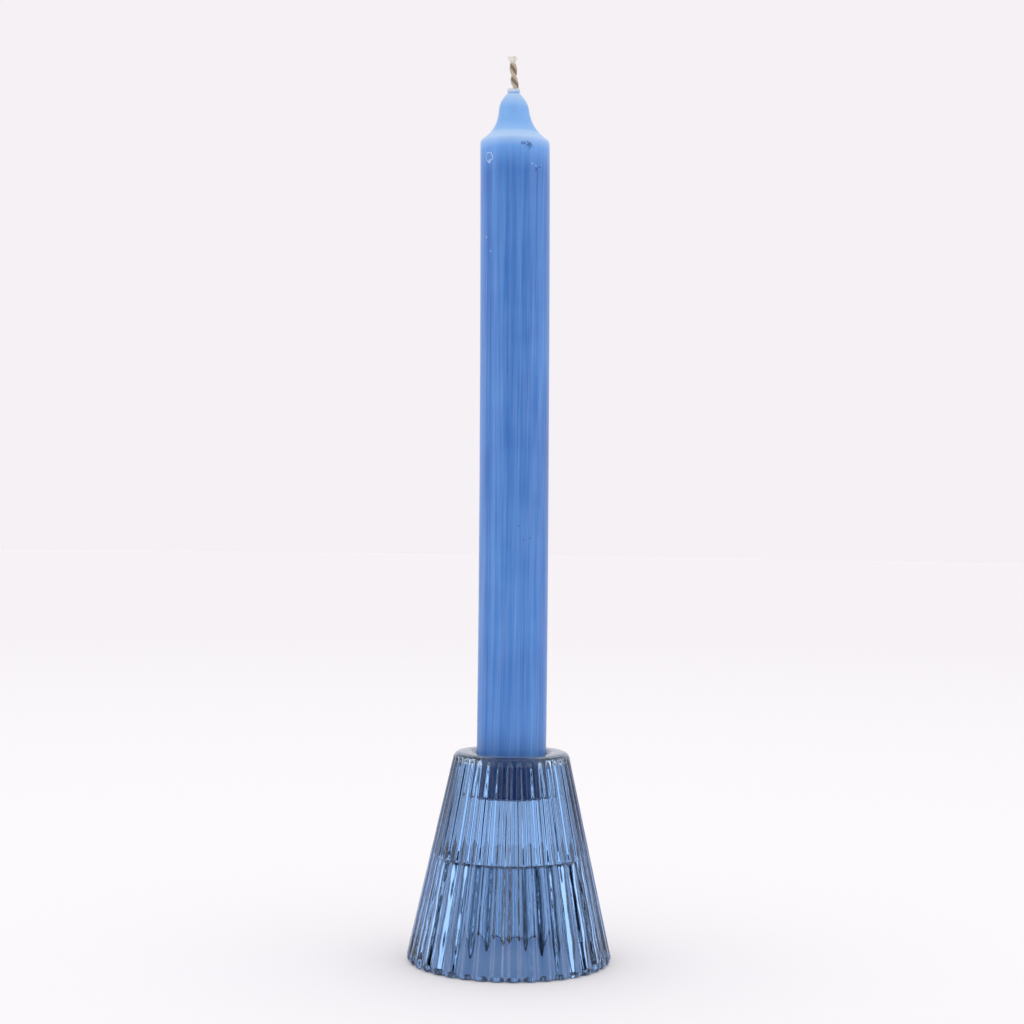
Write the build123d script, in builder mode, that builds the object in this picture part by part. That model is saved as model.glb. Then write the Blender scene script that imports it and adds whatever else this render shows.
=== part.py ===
from build123d import *
from math import cos, pi, radians, sin, tan
import os

os.makedirs("parts", exist_ok=True)

# Pressed-glass taper candlestick with its dinner candle. The holder is one moulding: a ribbed
# cone with a taper socket in its narrow end, a solid web, and a well open below.
# Millimetres, +Z up, origin at the centre of the foot on the table, +Y away from the viewer.

# ---- glass holder: the cone, measured over the rib crests ----
holder_height = 66.2
foot_radius = 32.7
rim_radius = 18.05

# ---- glass holder: ribs ----
rib_count = 38
rib_depth_foot = 1.0
rib_depth_rim = 0.7
rib_share = 0.66           # of each pitch is the rounded rib, and the rest the hollow valley
rib_turn = 3.05            # degrees from the front to the nearest crest, towards +X
round_margin = 0.2         # the rounded ends are turned this much outside the crests

# ---- glass holder: foot, rim and hollows ----
foot_round = 1.6
foot_inner_round = 0.8
rim_round = 2.0
socket_mouth_round = 2.0
socket_depth = 14.7
socket_draft = 0.8         # degrees that the mould needs
socket_floor_round = 0.8
well_depth = 32.8
well_mouth_radius = 26.0
well_top_radius = 19.8
well_top_round = 1.5

# ---- candle: heights are above its base ----
candle_diameter = 22.0
candle_length = 223.8
candle_base_round = 1.2
socket_clearance = 0.4     # candle to socket wall, at the socket floor
overdip_thickness = 0.7
shoulder_height = 208.2
neck_radius = 8.2
neck_drop = 13.2           # crown to neck, and so on down the bell-shaped tip
waist_radius = 4.9
waist_drop = 6.4
crown_radius = 2.4
crown_rise = 0.5
tip_hollow_radius = 19.0
tip_swell_radius = 9.0
collar_radius = 1.9
collar_height = 1.6

# ---- wick ----
wick_diameter = 2.2
wick_stub = 11.4
wick_lean = 12.0           # degrees, towards -X
wick_bend_radius = 16.0

socket_floor = holder_height - socket_depth
socket_floor_radius = candle_diameter / 2 + socket_clearance
socket_mouth_radius = socket_floor_radius + socket_depth * tan(radians(socket_draft))
candle_top = socket_floor + candle_length


def polar_point(radius, angle):
    return (radius * cos(angle), radius * sin(angle))


# A broad convex arc over each rib and a narrower hollow one along the valley after it. They run
# smoothly into each other when the rib arc drops by its own share of the depth.
def rib_outline(crest_radius, rib_depth):
    pitch = 2 * pi / rib_count
    side_radius = crest_radius - rib_share * rib_depth
    for rib in range(rib_count):
        crest = radians(rib_turn - 90) + rib * pitch
        valley = crest + pitch / 2
        near_side = polar_point(side_radius, crest + pitch * rib_share / 2)
        far_side = polar_point(side_radius, crest + pitch * (1 - rib_share / 2))
        ThreePointArc(
            polar_point(side_radius, crest - pitch * rib_share / 2),
            polar_point(crest_radius, crest),
            near_side,
        )
        ThreePointArc(near_side, polar_point(crest_radius - rib_depth, valley), far_side)


# Half outline of the wax, drawn this much inside its outer surface.
def wax_outline(inset):
    base = (candle_diameter / 2 - inset, socket_floor)
    shoulder = (candle_diameter / 2 - inset, socket_floor + shoulder_height - inset / 2)
    neck = (neck_radius - inset, candle_top - neck_drop - inset)
    waist = (waist_radius - inset, candle_top - waist_drop - inset / 2)
    crown = (crown_radius - inset / 2, candle_top - crown_rise - inset)
    peak = (0, candle_top - inset)
    Polyline((0, socket_floor), base, shoulder, neck)
    RadiusArc(neck, waist, tip_hollow_radius)
    RadiusArc(waist, crown, -tip_swell_radius)
    Polyline(crown, peak, (0, socket_floor))


# ---- glass holder: ribbed cone, then turned to its rounded ends and hollows ----
with BuildPart() as glass_holder:
    with BuildSketch(Plane.XY):
        with BuildLine():
            rib_outline(foot_radius, rib_depth_foot)
        make_face()
    with BuildSketch(Plane.XY.offset(holder_height)):
        with BuildLine():
            rib_outline(rim_radius, rib_depth_rim)
        make_face()
    loft(ruled=True)
    with BuildSketch(Plane.XZ):
        with BuildLine():
            FilletPolyline(
                (0, socket_floor),
                (socket_floor_radius, socket_floor),
                (socket_mouth_radius, holder_height),
                (rim_radius + round_margin, holder_height),
                (foot_radius + round_margin, 0),
                (well_mouth_radius, 0),
                (well_top_radius, well_depth),
                (0, well_depth),
                radius=[
                    socket_floor_round,
                    socket_mouth_round,
                    rim_round,
                    foot_round,
                    foot_inner_round,
                    well_top_round,
                ],
            )
            Line((0, well_depth), (0, socket_floor))
        make_face()
    revolve(axis=Axis.Z, mode=Mode.INTERSECT)
glass_holder.part.label = "glass_holder"
export_step(glass_holder.part, "parts/glass_holder.step")

# ---- wick: straight inside the wax, its free end leaning over ----
with BuildPart() as wick:
    with BuildLine(Plane.XZ):
        buried = Line((0, socket_floor), (0, candle_top + collar_height))
        bend = JernArc(buried @ 1, buried % 1, wick_bend_radius, wick_lean)
        arc_length = wick_bend_radius * radians(wick_lean)
        Line(bend @ 1, bend @ 1 + (bend % 1) * (wick_stub - collar_height - arc_length))
    with BuildSketch(Plane.XY.offset(socket_floor)):
        Circle(wick_diameter / 2)
    sweep()
wick.part.label = "wick"
export_step(wick.part, "parts/wick.step")

# ---- whole candle, before it is parted into core and coloured coat ----
with BuildPart() as candle_blank:
    with BuildSketch(Plane.XZ):
        with BuildLine():
            wax_outline(0)
        make_face()
    revolve(axis=Axis.Z)
    fillet(candle_blank.edges().group_by(Axis.Z)[0], candle_base_round)

# ---- candle core: undyed wax, bored for the wick, with the collar that shows at the tip ----
with BuildPart() as candle_core:
    with BuildSketch(Plane.XZ):
        with BuildLine():
            wax_outline(overdip_thickness)
        make_face()
    revolve(axis=Axis.Z)
    add(candle_blank.part, mode=Mode.INTERSECT)
    with BuildSketch(Plane.XY.offset(candle_top - 2 * overdip_thickness)):
        Circle(collar_radius)
    extrude(amount=collar_height + 2 * overdip_thickness)
    with BuildSketch(Plane.XY.offset(socket_floor)):
        Circle(wick_diameter / 2)
    extrude(amount=candle_length + collar_height, mode=Mode.SUBTRACT)
candle_core.part.label = "candle_core"
export_step(candle_core.part, "parts/candle_core.step")

# ---- candle coat: the coloured overdip, a thin shell open at the base and at the collar ----
with BuildPart() as candle_overdip:
    add(candle_blank.part)
    with BuildSketch(Plane.XZ):
        with BuildLine():
            wax_outline(overdip_thickness)
        make_face()
    revolve(axis=Axis.Z, mode=Mode.SUBTRACT)
    with BuildSketch(Plane.XY.offset(candle_top - 2 * overdip_thickness)):
        Circle(collar_radius)
    extrude(amount=2 * overdip_thickness, mode=Mode.SUBTRACT)
candle_overdip.part.label = "candle_overdip"
export_step(candle_overdip.part, "parts/candle_overdip.step")
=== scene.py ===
import bpy
import numpy as np
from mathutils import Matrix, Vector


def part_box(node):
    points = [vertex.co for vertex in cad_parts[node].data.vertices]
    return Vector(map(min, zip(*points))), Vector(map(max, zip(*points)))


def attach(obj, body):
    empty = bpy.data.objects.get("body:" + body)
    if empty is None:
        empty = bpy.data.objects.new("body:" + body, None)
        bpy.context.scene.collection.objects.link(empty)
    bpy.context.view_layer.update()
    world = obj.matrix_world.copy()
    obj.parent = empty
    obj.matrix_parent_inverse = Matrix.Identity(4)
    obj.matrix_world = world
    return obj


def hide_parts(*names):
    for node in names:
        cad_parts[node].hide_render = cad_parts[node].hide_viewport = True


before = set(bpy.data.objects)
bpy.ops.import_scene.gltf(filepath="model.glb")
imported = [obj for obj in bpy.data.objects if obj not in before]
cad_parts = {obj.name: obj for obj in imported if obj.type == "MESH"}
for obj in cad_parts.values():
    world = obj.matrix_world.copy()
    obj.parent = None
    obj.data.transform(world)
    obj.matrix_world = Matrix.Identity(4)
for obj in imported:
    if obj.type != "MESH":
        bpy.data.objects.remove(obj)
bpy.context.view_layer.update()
mm = 0.001

glassLow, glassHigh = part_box("glass_holder")
coatLow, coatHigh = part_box("candle_overdip")
coreLow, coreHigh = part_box("candle_core")
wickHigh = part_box("wick")[1]
candleRadius = (coatHigh[0] - coatLow[0]) / 2
candleFoot = coreLow[2]


# Small tools


# sRGB hex to the linear colour that shaders take.
def toLinear(hexColour):
    parts = np.array([int(hexColour[i : i + 2], 16) for i in (1, 3, 5)]) / 255
    linear = np.where(parts <= 0.04045, parts / 12.92, ((parts + 0.055) / 1.055) ** 2.4)
    return (*linear.tolist(), 1.0)


# One node. Each input takes a plain value, a hex colour, or a link from another node's socket.
def addNode(tree, kind, inputs=None, **attributes):
    node = tree.nodes.new(kind)
    for name, value in attributes.items():
        setattr(node, name, value)
    for key, value in (inputs or {}).items():
        if isinstance(value, bpy.types.NodeSocket):
            tree.links.new(value, node.inputs[key])
        else:
            node.inputs[key].default_value = toLinear(value) if isinstance(value, str) else value
    return node


# An empty material, with the coordinates of the object's own space to paint it by.
def newMaterial(name):
    material = bpy.data.materials.new(name)
    material.use_nodes = True
    tree = material.node_tree
    tree.nodes.clear()
    return material, tree, addNode(tree, "ShaderNodeTexCoord").outputs["Object"]


# Soft noise between 0 and 1; scale is its beats per metre.
def noise(tree, place, scale, detail):
    inputs = {"Vector": place, "Scale": scale, "Detail": detail}
    return addNode(tree, "ShaderNodeTexNoise", inputs).outputs["Fac"]


# Noise drawn out along the candle: its beats per metre across and along.
def drawnNoise(tree, place, across, along, detail):
    drawn = addNode(tree, "ShaderNodeMapping", {"Vector": place, "Scale": (across, across, along)})
    return noise(tree, drawn.outputs["Vector"], 1.0, detail)


# Carries a value from the range low to high over to atLow to atHigh, and holds it beyond the ends.
def carry(tree, value, low, high, atLow, atHigh):
    inputs = {0: value, 1: low, 2: high, 3: atLow, 4: atHigh}
    return addNode(tree, "ShaderNodeMapRange", inputs).outputs[0]


def reckon(tree, operation, *terms):
    return addNode(tree, "ShaderNodeMath", dict(enumerate(terms)), operation=operation).outputs[0]


# From the first colour at a share of 0 to the second at 1.
def blend(tree, share, first, second):
    inputs = {0: share, 6: first, 7: second}
    return addNode(tree, "ShaderNodeMix", inputs, data_type="RGBA").outputs[2]


def dented(tree, height, strength, distance):
    inputs = {"Height": height, "Strength": strength, "Distance": distance}
    return addNode(tree, "ShaderNodeBump", inputs).outputs["Normal"]


def heightOf(tree, place):
    return addNode(tree, "ShaderNodeSeparateXYZ", {0: place}).outputs["Z"]


def distanceFrom(tree, place, spot):
    inputs = {0: place, 1: spot}
    return addNode(tree, "ShaderNodeVectorMath", inputs, operation="DISTANCE").outputs["Value"]


# The surface shader, with the sockets it is given, on the material's output.
def finishMaterial(tree, inputs, **others):
    shader = addNode(tree, "ShaderNodeBsdfPrincipled", inputs).outputs["BSDF"]
    addNode(tree, "ShaderNodeOutputMaterial", {"Surface": shader, **others})


def placeObject(name, data):
    piece = bpy.data.objects.new(name, data)
    bpy.context.scene.collection.objects.link(piece)
    return piece


# 0 up to low, 1 from high, and an even ease between them.
def smoothStep(value, low, high):
    t = np.clip((value - low) / (high - low), 0, 1)
    return t * t * (3 - 2 * t)


# A path through corners (radius, height), each rounded by an arc tangent to its two sides. Every corner
# is its radius, height, rounding, and the longest step on the side after it. The arc's centre lies on
# the corner's bisector, the rounding over the sine of half the angle away.
def roundedPath(corners, arcStep):
    points = [np.array(c[:2], float) for c in corners]
    starts, pieces = [points[0]], []
    for i in range(1, len(points) - 1):
        back = points[i - 1] - points[i]
        ahead = points[i + 1] - points[i]
        back /= np.linalg.norm(back)
        ahead /= np.linalg.norm(ahead)
        turn = np.arccos(np.clip(back @ ahead, -1, 1))
        reach = corners[i][2] / np.tan(turn / 2)
        middle = (back + ahead) / np.linalg.norm(back + ahead)
        centre = points[i] + middle * corners[i][2] / np.sin(turn / 2)
        first, last = points[i] + back * reach - centre, points[i] + ahead * reach - centre
        begin = np.arctan2(first[1], first[0])
        sweep = (np.arctan2(last[1], last[0]) - begin + np.pi) % (2 * np.pi) - np.pi
        count = max(2, int(np.ceil(abs(sweep) / arcStep)))
        angles = begin + sweep * np.linspace(0, 1, count + 1)
        arc = centre + corners[i][2] * np.stack([np.cos(angles), np.sin(angles)], 1)
        pieces += [straightRun(starts[-1], arc[0], corners[i - 1][3]), arc[:-1]]
        starts.append(arc[-1])
    pieces += [straightRun(starts[-1], points[-1], corners[-2][3]), points[-1][None]]
    return np.concatenate(pieces)


# Even steps from start up to, and without, the end.
def straightRun(start, end, spacing):
    count = max(1, int(np.ceil(np.linalg.norm(end - start) / spacing)))
    return start + (end - start) * (np.arange(count) / count)[:, None]


# A closed skin over a grid of rings. Rows run along the shape, columns run round it anticlockwise seen
# from above. The first and last rows are poles, or in a loop the last ring joins the first.
def ringMesh(name, grid, materials, rowMaterial=None, loop=False):
    columns = grid.shape[1]
    rings = grid if loop else grid[1:-1]
    count = len(rings)
    row, column = np.meshgrid(np.arange(count if loop else count - 1), np.arange(columns), indexing="ij")
    here, beside = row * columns + column, row * columns + (column + 1) % columns
    above = (row + 1) % count * columns - row * columns
    faces = np.stack([here, beside, beside + above, here + above], -1).reshape(-1, 4).tolist()
    points = rings.reshape(-1, 3)
    if not loop:
        around = np.arange(columns)
        onward = (around + 1) % columns
        lastRing = (count - 1) * columns
        first = np.stack([np.full(columns, len(points)), onward, around], -1)
        last = np.stack([lastRing + around, lastRing + onward, np.full(columns, len(points) + 1)], -1)
        faces = first.tolist() + faces + last.tolist()
        points = np.concatenate([points, grid[:1, 0], grid[-1:, 0]])
    mesh = bpy.data.meshes.new(name)
    mesh.from_pydata(points.tolist(), [], faces)
    for material in materials:
        mesh.materials.append(material)
    if rowMaterial is not None:
        mesh.polygons.foreach_set("material_index", np.repeat(rowMaterial, columns).astype(np.int32))
    mesh.polygons.foreach_set("use_smooth", np.ones(len(mesh.polygons), bool))
    mesh.update()
    return placeObject(name, mesh)


# Glass holder

holder = {
    "ribs": 38,
    "ribTurn": 3.05,            # degrees from the front to the nearest crest
    "ribDepthFoot": 1.1,        # mm
    "ribDepthRim": 0.75,
    "ribSharpness": 1.7,        # 1 is a plain wave; higher gives broad crests and tight valleys
    "ribEnd": 2.3,              # mm below the rim where the ribs begin to die out
    "ribGone": 0.9,             # and where they are gone
    "clearLip": 1.6,            # mm below the rim where the tint ends
    "wellMouth": 26.0,          # mm, radii and heights of the hollows
    "wellTop": 19.8,
    "wellDepth": 32.8,
    "socketMouth": 11.6,
    "socketFloor": 11.4,
    "rimRadius": 18.05,
    "footRadius": 32.7,
    "wellTopRound": 1.5,
    "wellMouthRound": 0.8,
    "footRound": 1.4,
    "rimRound": 2.0,
    "socketMouthRound": 2.0,
    "socketFloorRound": 0.8,
    "ribReach": 2.4,            # mm below the cone that still counts as its skin
    "ringInner": 4.2,           # mm inside the foot's edge: the ribs fade in underneath, between these
    "ringOuter": 2.6,
    "columnsPerRib": 16,
    "crowding": 0.035,          # share of a rib by which the columns crowd towards its valley
    "wallRipple": 0.022,        # mm, the unevenness that the plunger leaves in the well
    "skinRipple": 0.012,        # mm, the same outside
    # the waves of both: how many go round, how far each turns per mm of height, and its shift
    "wallWaves": [(23, 0.21, 0.0), (37, -0.35, 1.7), (61, 0.9, 0.6)],
    "skinWaves": [(3, 0.7, 0.0), (11, -0.5, 2.2)],
    "tint": "#9DC3F4",
    "pooledTint": "#8EB7EC",
    "bodyTint": "#9DBFE6",
    "bodyTintStrength": 6.0,    # per metre
    "insideTint": "#F4F8FB",
    "insidePooledTint": "#EEF4FA",
    "skinGrain": 0.006,         # mm, the finest unevenness of the two surfaces
    "insideGrain": 0.012,
    "tintBeats": 60.0,          # beats per metre of the tint's clouds and of the grain
    "grainBeats": 900.0,
    "glassBend": 1.52,          # index of refraction
}


# Pressed soda-lime glass, fire-polished. The outside has a thin steel-blue tint, and the body a faint one.
def glassMaterial(name, tint, pooled, grain):
    material, tree, place = newMaterial(name)
    skin = {
        "Base Color": blend(tree, noise(tree, place, holder["tintBeats"], 2.0), tint, pooled),
        "Roughness": 0.0,
        "IOR": holder["glassBend"],
        "Transmission Weight": 1.0,
        "Normal": dented(tree, noise(tree, place, holder["grainBeats"], 1.0), 1.0, grain * mm),
    }
    bodyTint = {"Color": holder["bodyTint"], "Density": holder["bodyTintStrength"]}
    body = addNode(tree, "ShaderNodeVolumeAbsorption", bodyTint).outputs["Volume"]
    finishMaterial(tree, skin, Volume=body)
    return material


# The glass is one profile turned about the axis: ceiling of the well, its wall, foot, ribbed cone,
# rim, socket and socket floor. On the cone each point moves in by the depth times the sine of pi t,
# raised to twice the sharpness, where t runs from 0 at one rib's crest to 1 at the next. A sum of slow
# waves round and up the glass adds the unevenness of the mould and the plunger.
def makeHolder():
    h = holder
    height = (glassHigh[2] - glassLow[2]) / mm
    socketBase = (candleFoot - glassLow[2]) / mm
    corners = [
        (0, h["wellDepth"], 0, 4.0),
        (h["wellTop"], h["wellDepth"], h["wellTopRound"], 2.2),
        (h["wellMouth"], 0, h["wellMouthRound"], 2.0),
        (h["footRadius"], 0, h["footRound"], 1.3),
        (h["rimRadius"], height, h["rimRound"], 1.0),
        (h["socketMouth"], height, h["socketMouthRound"], 2.0),
        (h["socketFloor"], socketBase, h["socketFloorRound"], 3.0),
        (0, socketBase, 0, 4.0),
    ]
    profile = roundedPath(corners, np.radians(15))
    r, z = profile[:, 0], profile[:, 1]
    cone = h["footRadius"] + (h["rimRadius"] - h["footRadius"]) * z / height
    outside = (r > cone - h["ribReach"]) & (z < height - 0.05)
    upper = 1 - smoothStep(z, height - h["ribEnd"], height - h["ribGone"])
    lower = smoothStep(r, h["footRadius"] - h["ringInner"], h["footRadius"] - h["ringOuter"])
    ribbed = np.where(outside, upper * np.where(z < 1.5, lower, 1), 0)
    depth = h["ribDepthFoot"] + (h["ribDepthRim"] - h["ribDepthFoot"]) * z / height
    columns = h["ribs"] * h["columnsPerRib"]
    step = np.arange(columns) / h["columnsPerRib"]
    t = step % 1.0
    t = t + h["crowding"] * np.sin(4 * np.pi * t)
    angle = np.radians(h["ribTurn"] - 90) + 2 * np.pi * (np.floor(step) + t) / h["ribs"]
    valley = np.sin(np.pi * t) ** (2 * h["ribSharpness"])
    inward = (depth * ribbed)[:, None] * valley[None]
    a, zz = np.meshgrid(angle, z)
    well = (~outside & (z < h["wellDepth"] + 0.1) & (r > 2))[:, None]
    ripple = sum(np.sin(count * a + climb * zz + shift) for count, climb, shift in h["wallWaves"])
    swell = sum(np.sin(count * a + climb * zz + shift) for count, climb, shift in h["skinWaves"])
    uneven = ripple * np.where(well, h["wallRipple"], 0)
    uneven += swell * np.where(outside[:, None], h["skinRipple"], 0)
    radius = np.where(r[:, None] > 0, r[:, None] - inward + uneven, 0)
    grid = np.stack([radius * np.cos(a), radius * np.sin(a), zz + 0 * radius], -1) * mm
    tinted = glassMaterial("tinted skin of pressed glass", h["tint"], h["pooledTint"], h["skinGrain"])
    clear = glassMaterial(
        "clear inside of pressed glass", h["insideTint"], h["insidePooledTint"], h["insideGrain"]
    )
    skinRows = (outside[:-1] & outside[1:] & (z[1:] < height - h["clearLip"])).astype(int)
    piece = ringMesh("glassHolder", grid, [clear, tinted], skinRows)
    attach(piece, "holder")
    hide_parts("glass_holder")
    print("glass holder", len(profile), "rings of", columns)


makeHolder()

# Candle

candle = {
    "skin": 0.7,                # mm of coloured coat
    "bow": 1.8,                 # mm that the candle has bent to the left
    "tipLean": 0.45,            # mm more over the bell of the tip
    "baseRound": 1.2,           # mm
    # the shoulder in mm: how far in from the side, and below the top of the coat
    "shoulder": [(0.0, 17.5), (0.0, 16.2), (0.1, 15.6), (0.4, 15.2)],
    # the bell of the tip: radius and mm below the top of the coat, and the bulge of its two curves
    "neck": (8.2, 13.2),
    "waist": (4.9, 6.4),
    "crown": (2.3, 0.5),
    "hollowBulge": (-0.55, -0.25),
    "swellBulge": (0.62, 0.15),
    "lip": (1.75, 0.28),
    "collarRise": 1.6,          # mm of bare core above the coat
    # rings of the collar in mm: radius, height above the coat, lean to the right
    "collar": [(1.7, -0.3, 0.0), (1.82, -0.05, 0.1), (1.74, 0.3, 0.2), (1.54, 0.75, 0.3), (1.36, 1.2, 0.4)],
    # share of the collar's lumps that each ring takes, and last the mouth of the bore
    "collarShares": [0, 0.5, 1, 1, 0.6, 0.2],
    "collarSpur": 0.6,          # mm that the collar stands out to the left
    "boreRadius": 1.25,
    "coatColumns": 160,
    "coreColumns": 64,
    "coatUneven": 0.0018,       # share of the radius
    "coatColour": "#4F88D2",
    "coatDeep": "#2F68B8",
    "bloomColour": "#9FC4F2",
    "ringColour": "#D5E4F8",
    "nickColour": "#C9DCF6",
    "speckColour": "#1E3768",
    "scuffColour": "#2C4F8E",
    "coreShade": "#A9BFDF",
    "corePale": "#E6E7E8",
    "creptColour": "#8AB6EE",
    # beats per metre of each noise: clouds, ragged edges and grit; streaks and bloom across and along
    "cloudBeats": 45.0,
    "raggedBeats": 700.0,
    "gritBeats": 2600.0,
    "mottleBeats": 500.0,
    "streakBeats": (420, 3),
    "bloomBeats": (1500, 30),
    "waxBend": 1.44,            # index of refraction
    # where the painted highlight over the shoulder and the tip starts, in mm below the top of the wax, then
    # its colours from there up
    "highlightFrom": 27.0,
    "tipHighlightColours": [(18.6, "#6AA3EA"), (16.8, "#93BDF4"), (15.2, "#BAD7FB"), (13.4, "#B0D2FA"),
                   (12.2, "#8FBFF6"), (9.5, "#7DB3F2"), (5.0, "#82B6F2"), (2.0, "#A8CBF3"), (0.0, "#BAD6F6")],
    # marks on the front, in mm: across, height, size; rings of chipped wax, pale nicks and dark specks
    "rings": [(-8.1, 253.6, 1.9)],
    "nicks": [(-9.0, 228.6, 0.3), (-7.7, 224.0, 0.28), (-10.2, 227.8, 0.22), (5.4, 251.4, 0.35),
              (6.6, 250.9, 0.3)],
    "specks": [(1.45, 137.8, 0.24), (3.1, 133.6, 0.22), (5.1, 134.1, 0.22), (-10.4, 76.2, 0.3),
               (9.6, 92.0, 0.22), (7.7, 250.5, 0.3)],
    "scuffs": [(4.4, 257.2, 2.2), (2.6, 257.6, 1.4), (6.6, 249.6, 1.2)],
    "ringStrength": 0.75,
    "nickStrength": 0.6,
    "speckStrength": 0.85,
    "wickAside": 0.75,          # mm that the wick is off to the right where it leaves the tip
    "wickBack": 0.5,            # mm that its free end comes back
}


# How far the axis has bent at a height: it grows with the square of the height above the socket, and
# a little faster over the tip.
def bowAt(z):
    top = coreHigh[2] / mm
    share = np.clip((z - candleFoot / mm) / (top - candleFoot / mm), 0, None)
    return -candle["bow"] * share**2 - candle["tipLean"] * smoothStep(z, top - 19, top)


# Outline of the wax, inset from its outer surface: straight side, small shoulder, a hollow curve
# down to the waist of the tip and a swelling one over its crown. Each curve is a straight blend of its
# ends with a bulge aside that grows and falls as the sine of pi s along it.
def waxOutline(inset):
    c = candle
    foot, top = candleFoot / mm, coreHigh[2] / mm - c["collarRise"]
    radius = candleRadius / mm - inset
    s = np.linspace(0, 1, 12)
    rounded = radius - c["baseRound"] + c["baseRound"] * np.sin(s * np.pi / 2)
    base = np.stack([rounded, foot + c["baseRound"] - c["baseRound"] * np.cos(s * np.pi / 2)], 1)
    heights = np.linspace(foot + 3, top - 19, 60)
    side = np.stack([np.full(len(heights), radius), heights], 1)
    shoulder = [radius, top] - np.array(c["shoulder"])

    def curve(start, end, bulge):
        return start + (end - start) * s[:, None] + np.sin(np.pi * s)[:, None] * bulge

    neck = np.array([c["neck"][0] - inset, top - c["neck"][1]])
    waist = np.array([c["waist"][0] - inset, top - c["waist"][1]])
    crown = np.array([c["crown"][0] - inset / 2, top - c["crown"][1] - inset])
    hollow = curve(neck, waist, c["hollowBulge"])
    swell = curve(waist, crown, c["swellBulge"])
    lip = [[c["lip"][0], top - c["lip"][1] - inset]]
    return np.concatenate([base, side, shoulder, hollow, swell[1:], lip])


# Turns an outline into rings: a faint handmade unevenness round each ring, then the bow.
def waxGrid(outline, columns, unevenness, middle=None):
    angle = np.linspace(0, 2 * np.pi, columns, endpoint=False)
    a, z = np.meshgrid(angle, outline[:, 1])
    r = outline[:, :1] * (1 + unevenness * (np.sin(2 * a + 0.03 * z) + 0.6 * np.sin(3 * a - 0.05 * z + 1)))
    centre = bowAt(z) if middle is None else middle[:, None]
    return np.stack([r * np.cos(a) + centre, r * np.sin(a), z], -1) * mm


# A spot on the front of the coat, from mm across and mm of height.
def frontSpot(x, z):
    depth = -np.sqrt((candleRadius / mm) ** 2 - x**2)
    return ((x + bowAt(z)) * mm, depth * mm, z * mm)


# The coat's own blue: long streaks and soft clouds between two depths of colour, then paler bands of painted
# highlight over the shoulder and the tip. Gives the colour, the streaks and the clouds.
def coatBlue(tree, place):
    c = candle
    clouds = noise(tree, place, c["cloudBeats"], 2.0)
    streaks = reckon(tree, "MULTIPLY_ADD", drawnNoise(tree, place, *c["streakBeats"], 3.0), 1.4, clouds)
    tone = blend(tree, carry(tree, streaks, 0.85, 1.45, 0.0, 1.0), c["coatDeep"], c["coatColour"])
    top = coreHigh[2] - c["collarRise"] * mm
    reach = c["highlightFrom"] * mm
    rise = carry(tree, heightOf(tree, place), top - reach, top, 0.0, 1.0)
    patchy = reckon(tree, "MULTIPLY_ADD", clouds, 0.06, rise)
    # painted highlight: paler bands where the wax turns up to the light, over the shoulder and the tip
    highlightBands = addNode(tree, "ShaderNodeValToRGB", {0: patchy})
    highlightBands.color_ramp.elements.remove(highlightBands.color_ramp.elements[1])
    highlightBands.color_ramp.elements[0].color = toLinear(c["coatColour"])
    for drop, hexColour in c["tipHighlightColours"]:
        highlightBands.color_ramp.elements.new(1.03 - drop * mm / reach).color = toLinear(hexColour)
    share = carry(tree, patchy, 0.05, 0.35, 0.0, 0.9)
    return blend(tree, share, tone, highlightBands.outputs["Color"]), streaks, clouds


# Chips and specks: each is where the distance from its spot, less a ragged noise as wide as the mark,
# is small. A ring is where that is near zero on either side.
def markCoat(tree, place, colour):
    c = candle
    ragged = noise(tree, place, c["raggedBeats"], 3.0)
    marks = [(mark, c["ringStrength"], c["ringColour"], True) for mark in c["rings"]]
    marks += [(mark, c["nickStrength"], c["nickColour"], False) for mark in c["nicks"]]
    marks += [(mark, c["speckStrength"], c["speckColour"], False) for mark in c["specks"]]
    for (x, z, size), strength, hexColour, hollow in marks:
        away = distanceFrom(tree, place, frontSpot(x, z))
        edge = reckon(tree, "MULTIPLY_ADD", ragged, -1.5 * size * mm, away)
        if hollow:
            edge = reckon(tree, "ABSOLUTE", edge)
        low, high = (0.06 * mm, 0.22 * mm) if hollow else (-0.1 * size * mm, 0.3 * size * mm)
        colour = blend(tree, carry(tree, edge, low, high, strength, 0.0), colour, hexColour)
    grit = noise(tree, place, c["gritBeats"], 2.0)
    for x, z, size in c["scuffs"]:
        near = carry(tree, distanceFrom(tree, place, frontSpot(x, z)), 0.0, size * mm, 0.44, 0.0)
        scuff = carry(tree, reckon(tree, "ADD", near, grit), 0.72, 0.82, 0.0, 0.75)
        colour = blend(tree, scuff, colour, c["scuffColour"])
    return colour


# Dyed paraffin: a deep blue overdip with fine streaks along its length, a faint bloom in the streaks, painted
# highlight over the shoulder and the tip, with chips that show the undyed wax.
def coatMaterial():
    material, tree, place = newMaterial("dyed paraffin overdip")
    colour, streaks, clouds = coatBlue(tree, place)
    bloom = carry(tree, drawnNoise(tree, place, *candle["bloomBeats"], 2.0), 0.42, 0.75, 0.0, 0.22)
    colour = blend(tree, bloom, colour, candle["bloomColour"])
    wax = {
        "Base Color": markCoat(tree, place, colour),
        "Roughness": carry(tree, clouds, 0.3, 0.8, 0.3, 0.42),
        "IOR": candle["waxBend"],
        "Subsurface Weight": 0.12,
        "Subsurface Scale": 0.0015,
        "Normal": dented(tree, streaks, 0.35, 0.00012),
    }
    finishMaterial(tree, wax)
    return material


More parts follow.
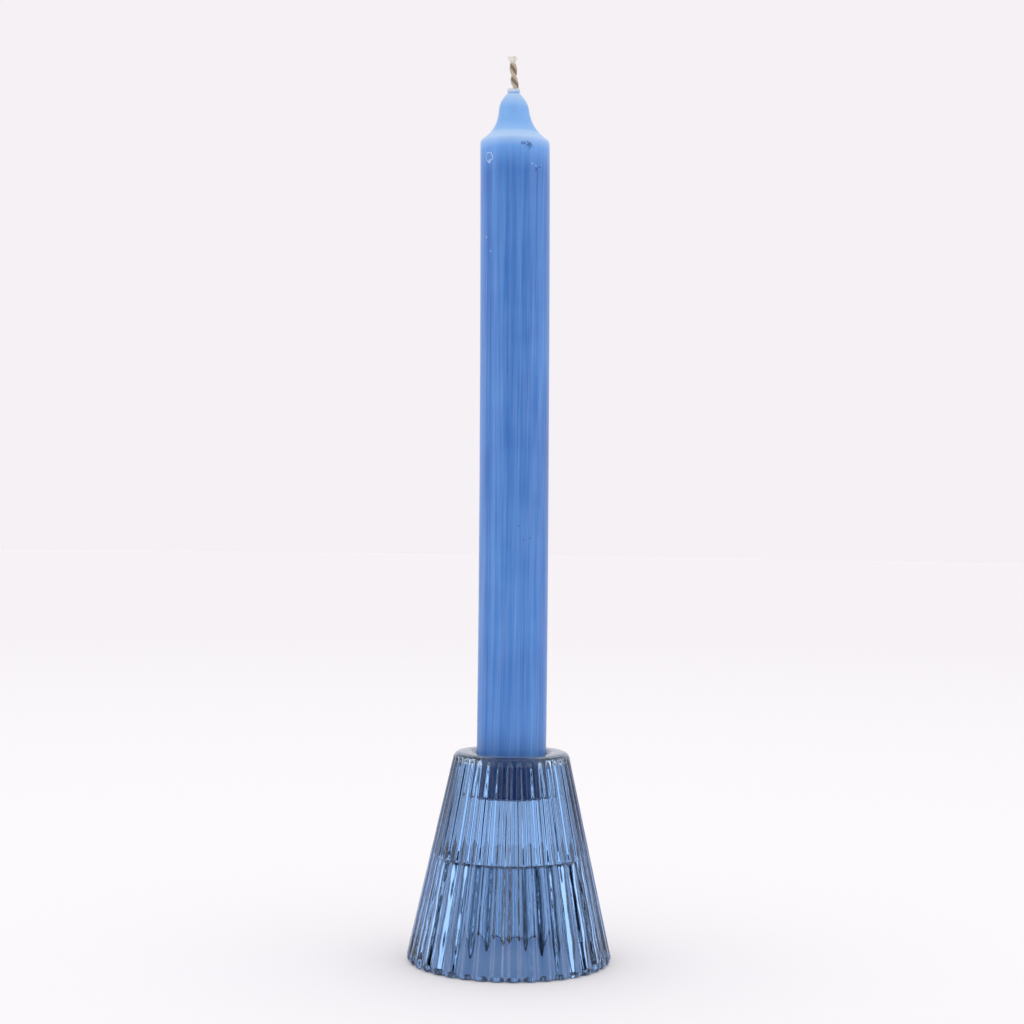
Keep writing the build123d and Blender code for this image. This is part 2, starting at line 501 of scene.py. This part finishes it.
# Undyed paraffin, milky and a little mottled. Blue wax has crept over the foot of the collar, up to a
# line that the mottling makes uneven.
def coreMaterial():
    material, tree, place = newMaterial("undyed paraffin")
    mottle = noise(tree, place, candle["mottleBeats"], 3.0)
    tone = blend(tree, mottle, candle["coreShade"], candle["corePale"])
    uneven = reckon(tree, "MULTIPLY_ADD", mottle, -1.2 * mm, heightOf(tree, place))
    top = coreHigh[2] - candle["collarRise"] * mm
    crept = carry(tree, uneven, top - 0.6 * mm, top, 0.9, 0.0)
    wax = {
        "Base Color": blend(tree, crept, tone, candle["creptColour"]),
        "Roughness": 0.42,
        "IOR": candle["waxBend"],
        "Subsurface Weight": 0.3,
        "Subsurface Scale": 0.001,
        "Normal": dented(tree, mottle, 0.5, 0.2 * mm),
    }
    finishMaterial(tree, wax)
    return material


# The coat is a thin shell: up its outside from the base to the collar, and down its inside.
def makeCoat():
    outline = np.concatenate([waxOutline(0.0), waxOutline(candle["skin"])[::-1]])
    grid = waxGrid(outline, candle["coatColumns"], candle["coatUneven"])
    piece = ringMesh("candleCoat", grid, [coatMaterial()], loop=True)
    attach(piece, "candle")
    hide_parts("candle_overdip")
    print("candle coat", len(outline), "rings")


# The core fills the coat and is bored for the wick. It ends in an uneven collar of pale wax that has
# crept up the wick: each of its rings swells by a sum of three sine waves round it, and by a spur on
# the left that falls off as a bell curve.
def makeCore():
    c = candle
    top = coreHigh[2] / mm - c["collarRise"]
    outer = waxOutline(c["skin"] + 0.02)
    collar = np.array(c["collar"])
    lean = collar[:, 2]
    collar = collar[:, :2] + [0, top]
    boreHeights = np.concatenate([collar[-1:, 1], np.linspace(top - 1, candleFoot / mm, 60)])
    bore = np.stack([np.full(len(boreHeights), c["boreRadius"]), boreHeights], 1)
    outline = np.concatenate([outer, collar, bore])
    first, boreStart = len(outer), len(outer) + len(collar)
    middle = bowAt(outline[:, 1])
    middle[first:boreStart] += lean
    middle[boreStart:] = wickMiddle(boreHeights)
    grid = waxGrid(outline, c["coreColumns"], 0.0, middle)
    angle = np.linspace(0, 2 * np.pi, c["coreColumns"], endpoint=False)
    spur = c["collarSpur"] * np.exp(-(((angle - np.pi) / 0.35) ** 2))
    lumps = 0.12 * np.sin(3 * angle + 0.5) + 0.08 * np.sin(5 * angle + 2) + 0.05 * np.sin(8 * angle) + spur
    lift = 0.25 * np.sin(2 * angle + 1) + 0.15 * np.sin(5 * angle) + 0.8 * spur
    swollen = np.stack([lumps * np.cos(angle), lumps * np.sin(angle), lift], -1)
    grid[first : boreStart + 1] += np.array(c["collarShares"])[:, None, None] * mm * swollen
    piece = ringMesh("candleCore", grid, [coreMaterial()], loop=True)
    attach(piece, "candle")
    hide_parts("candle_core")
    print("candle core", len(outline), "rings")


# The cord's middle: up the bowed axis in the wax, a bell curve of height to the right as it leaves the
# tip, and eased over to the left at its free end.
def wickMiddle(z):
    tip = coreHigh[2] / mm
    above = z - tip
    aside = candle["wickAside"] * np.exp(-(((above + 0.3) / 2.2) ** 2))
    back = candle["wickBack"] * smoothStep(above, 4.0, 10.0)
    return bowAt(np.minimum(z, tip)) + (aside - back)


makeCoat()
makeCore()

# Wick

wick = {
    "plyRadius": 0.74,          # mm
    "plyOffset": 0.46,          # mm from the cord's middle
    "turn": 8.2,                # mm of cord for one full turn of the twist
    "fineLength": 14.0,         # mm of cord at the free end that get closer rings
    "frayed": (2.6, 1.2),       # mm below the free end, from where it pales to where it is palest
    "strandBeats": 600.0,
    "fuzzBeats": 3000.0,        # beats per metre
    "columns": 14,
    "paleColour": "#E9DFCD",
    "shadeColour": "#8A7257",
    "grooveShadeColour": "#665039",
    "frayedColour": "#F2EEE6",
}


# Twisted cotton: pale yarn with finer strands wound across each ply, painted shade in the groove between the
# plies, and paler where the end is frayed.
def wickMaterial():
    w = wick
    material, tree, place = newMaterial("twisted cotton cord")
    leaning = addNode(tree, "ShaderNodeMapping", {"Vector": place, "Rotation": (0.0, 0.5, 0.4)})
    wave = {
        "Vector": leaning.outputs["Vector"],
        "Scale": w["strandBeats"],
        "Distortion": 2.5,
        "Detail": 2.0,
        "Detail Scale": 1.5,
    }
    strands = addNode(tree, "ShaderNodeTexWave", wave, bands_direction="Z").outputs["Fac"]
    cloth = reckon(tree, "MULTIPLY_ADD", noise(tree, place, w["fuzzBeats"], 3.0), 0.6, strands)
    tone = blend(tree, carry(tree, cloth, 0.55, 1.1, 0.0, 1.0), w["shadeColour"], w["paleColour"])
    # painted shade where the plies face in towards each other, in the groove between them
    facing = addNode(tree, "ShaderNodeAttribute", attribute_name="outward").outputs["Fac"]
    tone = blend(tree, carry(tree, facing, -0.1, 0.65, 0.75, 0.0), tone, w["grooveShadeColour"])
    start, full = (wickHigh[2] - drop * mm for drop in w["frayed"])
    frayed = carry(tree, heightOf(tree, place), start, full, 0.0, 0.85)
    cotton = {
        "Base Color": blend(tree, frayed, tone, w["frayedColour"]),
        "Roughness": 0.9,
        "Sheen Weight": 0.3,
        "Normal": dented(tree, cloth, 0.8, 0.1 * mm),
    }
    finishMaterial(tree, cotton)
    return material


# Each ply is a tube wound round the cord's middle; at the free end the plies part and fray. A ply's
# middle stands off by the ply offset at an angle that turns by one round for each length of turn.
def makeWick():
    w = wick
    foot, top = candleFoot / mm + 0.1, wickHigh[2] / mm
    fineFrom = top - w["fineLength"]
    z = np.concatenate([np.linspace(foot, fineFrom, 240), np.linspace(fineFrom, top, 90)[1:]])
    z = np.concatenate([z[:1], z, z[-1:]])
    grow = 1 + 0.25 * smoothStep(z, top - 2.2, top - 0.4)
    spread = w["plyOffset"] * (1 + 0.5 * smoothStep(z, top - 2.0, top))
    angle = np.linspace(0, 2 * np.pi, w["columns"], endpoint=False)
    cotton = wickMaterial()
    for ply, name in enumerate(("wickPlyLeft", "wickPlyRight")):
        phase = np.pi * ply - 2 * np.pi * z / w["turn"] - 0.05
        cx = wickMiddle(z) + spread * np.cos(phase)
        cy = spread * np.sin(phase)
        girth = w["plyRadius"] * grow * (1 + 0.05 * np.sin(z * 4 + ply))
        girth[[0, -1]] = 0
        ragged = 0.12 * np.sin(3 * angle + ply)[None] * (z > top - 0.3)[:, None]
        x = cx[:, None] + girth[:, None] * np.cos(angle)
        y = cy[:, None] + girth[:, None] * np.sin(angle)
        grid = np.stack([x, y, z[:, None] + ragged], -1)
        piece = ringMesh(name, grid * mm, [cotton])
        # how far each point of the ply faces away from the cord's middle, for the painted shade in the groove
        outward = np.cos(angle[None] - phase[:, None])
        outward = np.concatenate([outward[1:-1].ravel(), [0, 0]])
        piece.data.attributes.new("outward", "FLOAT", "POINT").data.foreach_set("value", outward)
        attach(piece, "candle")
        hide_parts("wick")
    print("wick of two plies")


makeWick()

# Studio

studio = {
    "backdrop": "#F5F1F5",
    # painted pool of light: the table is whiter near the object, fading out to its far colour
    "tablePaintedLight": "#FEFBFE",
    "tableFar": "#F7F3F6",
    "tableRadius": 6.0,         # m
    "paintedLightFade": (0.2, 1.6),    # m from the object, from the near colour to the far one
    # painted shade of the table inside the well, and painted shadow under the foot, on a glowing disc
    "wellShade": "#8F9FB8",
    "footShadow": "#7F92B0",
    "nearRadius": 0.0315,       # m, the patch of table under the foot
    "nearHeight": -0.00005,
    # tall light panels in a ring round the table: two waves of a count, a shift and a weight
    "panels": [(5.0, 0.0, 0.65), (9.0, 0.8, 0.35)],
    "panelLean": [("Y", 0.3), ("Z", -0.7)],
    "panelEdge": 0.15,
    "panelLight": 1.36,
    "sidePanelLight": 2.4,
    "lampLight": 1.9,
    "lampSide": -0.42,
    "panelShare": 0.25,
    "gapLight": 0.0,
    "ceilingLight": 0.25,
    "lens": 69.7,               # mm
    "cameraPlace": (-0.00088, -0.630, 0.1422),
    "cameraRoll": -0.79,        # degrees
}


# A pale matt table with a painted pool of light: a little whiter near the object.
def makeTable():
    s = studio
    material, tree, place = newMaterial("pale matt table")
    share = carry(tree, distanceFrom(tree, place, (0, 0, 0)), *s["paintedLightFade"], 0.0, 1.0)
    matt = {
        "Base Color": blend(tree, share, s["tablePaintedLight"], s["tableFar"]),
        "Roughness": 0.8,
        "Specular IOR Level": 0.1,
    }
    finishMaterial(tree, matt)
    top = discMesh("studioTable", s["tableRadius"], 0.0, material)
    top.visible_transmission = False
    # a glowing disc of painted shade under the glass, seen only through it
    near = discMesh("paintedShadeUnderGlass", s["nearRadius"], s["nearHeight"], paintedWellShade())
    near.visible_camera = False
    near.visible_diffuse = False
    near.visible_glossy = False
    near.visible_shadow = False


# The patch of table inside the well as a glowing disc of painted shade, where little light gets in, darker
# out to the painted shadow under the foot; only the glass shows it.
def paintedWellShade():
    s = studio
    material, tree, place = newMaterial("painted shade under the well")
    share = carry(tree, distanceFrom(tree, place, (0, 0, 0)), 0.0, 0.026, 0.0, 1.0)
    inputs = {"Color": blend(tree, share, s["wellShade"], s["footShadow"]), "Strength": 1.0}
    glow = addNode(tree, "ShaderNodeEmission", inputs).outputs["Emission"]
    addNode(tree, "ShaderNodeOutputMaterial", {"Surface": glow})
    return material


def discMesh(name, radius, height, material):
    angle = np.linspace(0, 2 * np.pi, 96, endpoint=False)
    rim = np.stack([radius * np.cos(angle), radius * np.sin(angle), np.full(len(angle), height)], 1)
    mesh = bpy.data.meshes.new(name)
    mesh.from_pydata(rim.tolist(), [], [list(range(len(angle)))])
    mesh.materials.append(material)
    return placeObject(name, mesh)


# What the glass shows of the room: tall light panels with dark gaps between them. The beat is the sum
# of two cosine waves of the angle round the table, raised behind the object and lowered with height,
# and a panel is where it is above the panel share. Panels beside the camera are the strongest, the
# ceiling is one dim level, and next to nothing comes from below the table.
def panelRing(tree, parts):
    s = studio
    turn = reckon(tree, "ARCTAN2", parts["X"], parts["Y"])
    beat = 0
    for count, shift, share in s["panels"]:
        swing = reckon(tree, "COSINE", reckon(tree, "MULTIPLY_ADD", turn, count, shift))
        beat = reckon(tree, "MULTIPLY_ADD", swing, share, beat)
    for axis, share in s["panelLean"]:
        beat = reckon(tree, "MULTIPLY_ADD", parts[axis], share, beat)
    low, high = s["panelShare"] - s["panelEdge"], s["panelShare"] + s["panelEdge"]
    panel = carry(tree, beat, low, high, s["gapLight"], 1.0)
    level = carry(tree, parts["Y"], -1.0, 0.6, s["sidePanelLight"], s["panelLight"])
    below = carry(tree, parts["Z"], -0.65, -0.5, 0.04, 1.0)
    lit = reckon(tree, "MULTIPLY", panel, reckon(tree, "MULTIPLY", level, below))
    overhead = carry(tree, parts["Z"], 0.75, 0.92, 0.0, 1.0)
    inputs = {0: overhead, 2: lit, 3: s["ceilingLight"]}
    return addNode(tree, "ShaderNodeMix", inputs, data_type="FLOAT").outputs[0]


# What reflections show of it: the backdrop, a dark side behind the camera, and two tall narrow lamps at
# either side of the camera.
def reflectedRoom(tree, parts):
    s = studio
    front = carry(tree, parts["Y"], -0.8, -0.4, 0.02, 1.0)
    aside = reckon(tree, "ABSOLUTE", reckon(tree, "SUBTRACT", parts["Y"], s["lampSide"]))
    total = reckon(tree, "ADD", front, carry(tree, aside, 0.04, 0.08, s["lampLight"], 0.0))
    inputs = {0: toLinear(s["backdrop"])[:3], "Scale": total}
    return addNode(tree, "ShaderNodeVectorMath", inputs, operation="SCALE").outputs["Vector"]


# The room: a plain pale backdrop to the camera, an even white dome for soft light, and its own view for
# reflections and for what is seen through the glass.
def makeRoom():
    world = bpy.data.worlds.new("studio room")
    bpy.context.scene.world = world
    world.use_nodes = True
    tree = world.node_tree
    tree.nodes.clear()
    way = addNode(tree, "ShaderNodeTexCoord").outputs["Generated"]
    parts = addNode(tree, "ShaderNodeSeparateXYZ", {0: way}).outputs
    rays = addNode(tree, "ShaderNodeLightPath").outputs
    plain = blend(tree, rays["Is Camera Ray"], (1, 1, 1, 1), studio["backdrop"])
    reflected = blend(tree, rays["Is Glossy Ray"], plain, reflectedRoom(tree, parts))
    colour = blend(tree, rays["Is Transmission Ray"], reflected, panelRing(tree, parts))
    glow = addNode(tree, "ShaderNodeBackground", {"Color": colour, "Strength": 1.0})
    addNode(tree, "ShaderNodeOutputWorld", {"Surface": glow.outputs["Background"]})


# The camera stands level in front of the object, at about half its height.
def makeCamera():
    data = bpy.data.cameras.new("camera")
    data.lens = studio["lens"]
    data.sensor_width = 36
    data.clip_start = 0.01
    camera = placeObject("camera", data)
    camera.location = studio["cameraPlace"]
    camera.rotation_euler = (np.radians(90), np.radians(studio["cameraRoll"]), 0)
    bpy.context.scene.camera = camera


makeTable()
makeRoom()
makeCamera()
bpy.context.scene.view_settings.view_transform = "Standard"
print("studio")
